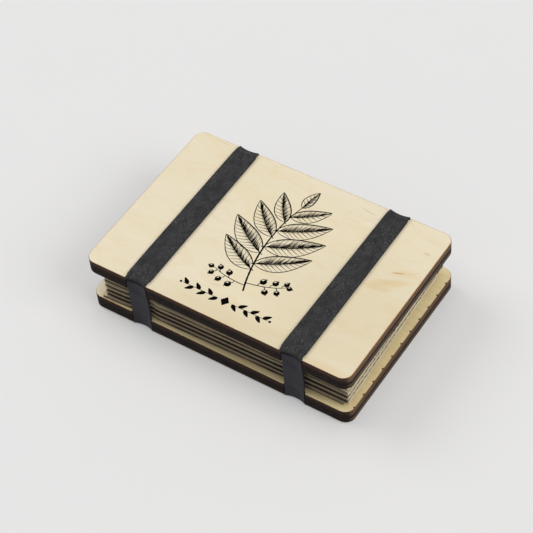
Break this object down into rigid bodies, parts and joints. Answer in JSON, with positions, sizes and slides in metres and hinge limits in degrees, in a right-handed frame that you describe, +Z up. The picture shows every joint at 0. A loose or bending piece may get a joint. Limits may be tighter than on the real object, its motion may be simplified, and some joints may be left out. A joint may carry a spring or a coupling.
{
  "type": "flower press",
  "caption": "Small flower press: two notched plywood boards squeeze a stack of corrugated cards and blotting papers, held by flat rubber bands.",
  "frame": {"origin": "on the table, under the middle of the boards", "axes": "+X along the boards, +Y across them away from the viewer's front edge, +Z up through the stack"},
  "size_m": [0.12, 0.0804, 0.0293],
  "materials": {
    "birch_plywood": "satin",
    "black_rubber": "matte",
    "corrugated_card": "matte",
    "blotting_paper": "matte"
  },
  "bodies": {
    "bottom_board": {"bottom_board": "birch_plywood"},
    "top_board": {"top_board": "birch_plywood"},
    "band_left": {"band_left": "black_rubber"},
    "band_right": {"band_right": "black_rubber"},
    "corrugated_card_1": {"corrugated_card_1": "corrugated_card"},
    "blotting_paper_1": {"blotting_paper_1": "blotting_paper"},
    "blotting_paper_2": {"blotting_paper_2": "blotting_paper"},
    "blotting_paper_3": {"blotting_paper_3": "blotting_paper"},
    "corrugated_card_2": {"corrugated_card_2": "corrugated_card"},
    "blotting_paper_4": {"blotting_paper_4": "blotting_paper"},
    "blotting_paper_5": {"blotting_paper_5": "blotting_paper"},
    "blotting_paper_6": {"blotting_paper_6": "blotting_paper"},
    "corrugated_card_3": {"corrugated_card_3": "corrugated_card"},
    "blotting_paper_7": {"blotting_paper_7": "blotting_paper"},
    "blotting_paper_8": {"blotting_paper_8": "blotting_paper"},
    "blotting_paper_9": {"blotting_paper_9": "blotting_paper"},
    "corrugated_card_4": {"corrugated_card_4": "corrugated_card"},
    "blotting_paper_10": {"blotting_paper_10": "blotting_paper"},
    "blotting_paper_11": {"blotting_paper_11": "blotting_paper"},
    "blotting_paper_12": {"blotting_paper_12": "blotting_paper"},
    "corrugated_card_5": {"corrugated_card_5": "corrugated_card"},
    "blotting_paper_13": {"blotting_paper_13": "blotting_paper"},
    "blotting_paper_14": {"blotting_paper_14": "blotting_paper"},
    "blotting_paper_15": {"blotting_paper_15": "blotting_paper"}
  },
  "joints": [
    {"name": "top_board_lift", "type": "slide", "parent": "bottom_board", "child": "top_board", "axis": [0, 0, 1], "range_m": [0, 0.06]},
    {"name": "band_left_off", "type": "slide", "parent": "bottom_board", "child": "band_left", "axis": [-1, 0, 0], "range_m": [0, 0.048], "deforming": ["band_left"]},
    {"name": "band_right_off", "type": "slide", "parent": "bottom_board", "child": "band_right", "axis": [1, 0, 0], "range_m": [0, 0.048], "deforming": ["band_right"]},
    {"name": "corrugated_card_1_lift", "type": "slide", "parent": "bottom_board", "child": "corrugated_card_1", "axis": [0, 0, 1], "range_m": [0, 0.00286]},
    {"name": "blotting_paper_1_lift", "type": "slide", "parent": "bottom_board", "child": "blotting_paper_1", "axis": [0, 0, 1], "range_m": [0, 0.00571]},
    {"name": "blotting_paper_2_lift", "type": "slide", "parent": "bottom_board", "child": "blotting_paper_2", "axis": [0, 0, 1], "range_m": [0, 0.00857]},
    {"name": "blotting_paper_3_lift", "type": "slide", "parent": "bottom_board", "child": "blotting_paper_3", "axis": [0, 0, 1], "range_m": [0, 0.01143]},
    {"name": "corrugated_card_2_lift", "type": "slide", "parent": "bottom_board", "child": "corrugated_card_2", "axis": [0, 0, 1], "range_m": [0, 0.01429]},
    {"name": "blotting_paper_4_lift", "type": "slide", "parent": "bottom_board", "child": "blotting_paper_4", "axis": [0, 0, 1], "range_m": [0, 0.01714]},
    {"name": "blotting_paper_5_lift", "type": "slide", "parent": "bottom_board", "child": "blotting_paper_5", "axis": [0, 0, 1], "range_m": [0, 0.02]},
    {"name": "blotting_paper_6_lift", "type": "slide", "parent": "bottom_board", "child": "blotting_paper_6", "axis": [0, 0, 1], "range_m": [0, 0.02286]},
    {"name": "corrugated_card_3_lift", "type": "slide", "parent": "bottom_board", "child": "corrugated_card_3", "axis": [0, 0, 1], "range_m": [0, 0.02571]},
    {"name": "blotting_paper_7_lift", "type": "slide", "parent": "bottom_board", "child": "blotting_paper_7", "axis": [0, 0, 1], "range_m": [0, 0.02857]},
    {"name": "blotting_paper_8_lift", "type": "slide", "parent": "bottom_board", "child": "blotting_paper_8", "axis": [0, 0, 1], "range_m": [0, 0.03143]},
    {"name": "blotting_paper_9_lift", "type": "slide", "parent": "bottom_board", "child": "blotting_paper_9", "axis": [0, 0, 1], "range_m": [0, 0.03429]},
    {"name": "corrugated_card_4_lift", "type": "slide", "parent": "bottom_board", "child": "corrugated_card_4", "axis": [0, 0, 1], "range_m": [0, 0.03714]},
    {"name": "blotting_paper_10_lift", "type": "slide", "parent": "bottom_board", "child": "blotting_paper_10", "axis": [0, 0, 1], "range_m": [0, 0.04]},
    {"name": "blotting_paper_11_lift", "type": "slide", "parent": "bottom_board", "child": "blotting_paper_11", "axis": [0, 0, 1], "range_m": [0, 0.04286]},
    {"name": "blotting_paper_12_lift", "type": "slide", "parent": "bottom_board", "child": "blotting_paper_12", "axis": [0, 0, 1], "range_m": [0, 0.04571]},
    {"name": "corrugated_card_5_lift", "type": "slide", "parent": "bottom_board", "child": "corrugated_card_5", "axis": [0, 0, 1], "range_m": [0, 0.04857]},
    {"name": "blotting_paper_13_lift", "type": "slide", "parent": "bottom_board", "child": "blotting_paper_13", "axis": [0, 0, 1], "range_m": [0, 0.05143]},
    {"name": "blotting_paper_14_lift", "type": "slide", "parent": "bottom_board", "child": "blotting_paper_14", "axis": [0, 0, 1], "range_m": [0, 0.05429]},
    {"name": "blotting_paper_15_lift", "type": "slide", "parent": "bottom_board", "child": "blotting_paper_15", "axis": [0, 0, 1], "range_m": [0, 0.05714]}
  ],
  "couplings": [
    {"joint": "band_left_off", "follows": "top_board_lift", "ratio": 0.8},
    {"joint": "band_right_off", "follows": "top_board_lift", "ratio": 0.8},
    {"joint": "corrugated_card_1_lift", "follows": "top_board_lift", "ratio": 0.047619},
    {"joint": "blotting_paper_1_lift", "follows": "top_board_lift", "ratio": 0.095238},
    {"joint": "blotting_paper_2_lift", "follows": "top_board_lift", "ratio": 0.14286},
    {"joint": "blotting_paper_3_lift", "follows": "top_board_lift", "ratio": 0.19048},
    {"joint": "corrugated_card_2_lift", "follows": "top_board_lift", "ratio": 0.2381},
    {"joint": "blotting_paper_4_lift", "follows": "top_board_lift", "ratio": 0.28571},
    {"joint": "blotting_paper_5_lift", "follows": "top_board_lift", "ratio": 0.33333},
    {"joint": "blotting_paper_6_lift", "follows": "top_board_lift", "ratio": 0.38095},
    {"joint": "corrugated_card_3_lift", "follows": "top_board_lift", "ratio": 0.42857},
    {"joint": "blotting_paper_7_lift", "follows": "top_board_lift", "ratio": 0.47619},
    {"joint": "blotting_paper_8_lift", "follows": "top_board_lift", "ratio": 0.52381},
    {"joint": "blotting_paper_9_lift", "follows": "top_board_lift", "ratio": 0.57143},
    {"joint": "corrugated_card_4_lift", "follows": "top_board_lift", "ratio": 0.61905},
    {"joint": "blotting_paper_10_lift", "follows": "top_board_lift", "ratio": 0.66667},
    {"joint": "blotting_paper_11_lift", "follows": "top_board_lift", "ratio": 0.71429},
    {"joint": "blotting_paper_12_lift", "follows": "top_board_lift", "ratio": 0.76191},
    {"joint": "corrugated_card_5_lift", "follows": "top_board_lift", "ratio": 0.80952},
    {"joint": "blotting_paper_13_lift", "follows": "top_board_lift", "ratio": 0.85714},
    {"joint": "blotting_paper_14_lift", "follows": "top_board_lift", "ratio": 0.90476},
    {"joint": "blotting_paper_15_lift", "follows": "top_board_lift", "ratio": 0.95238}
  ]
}
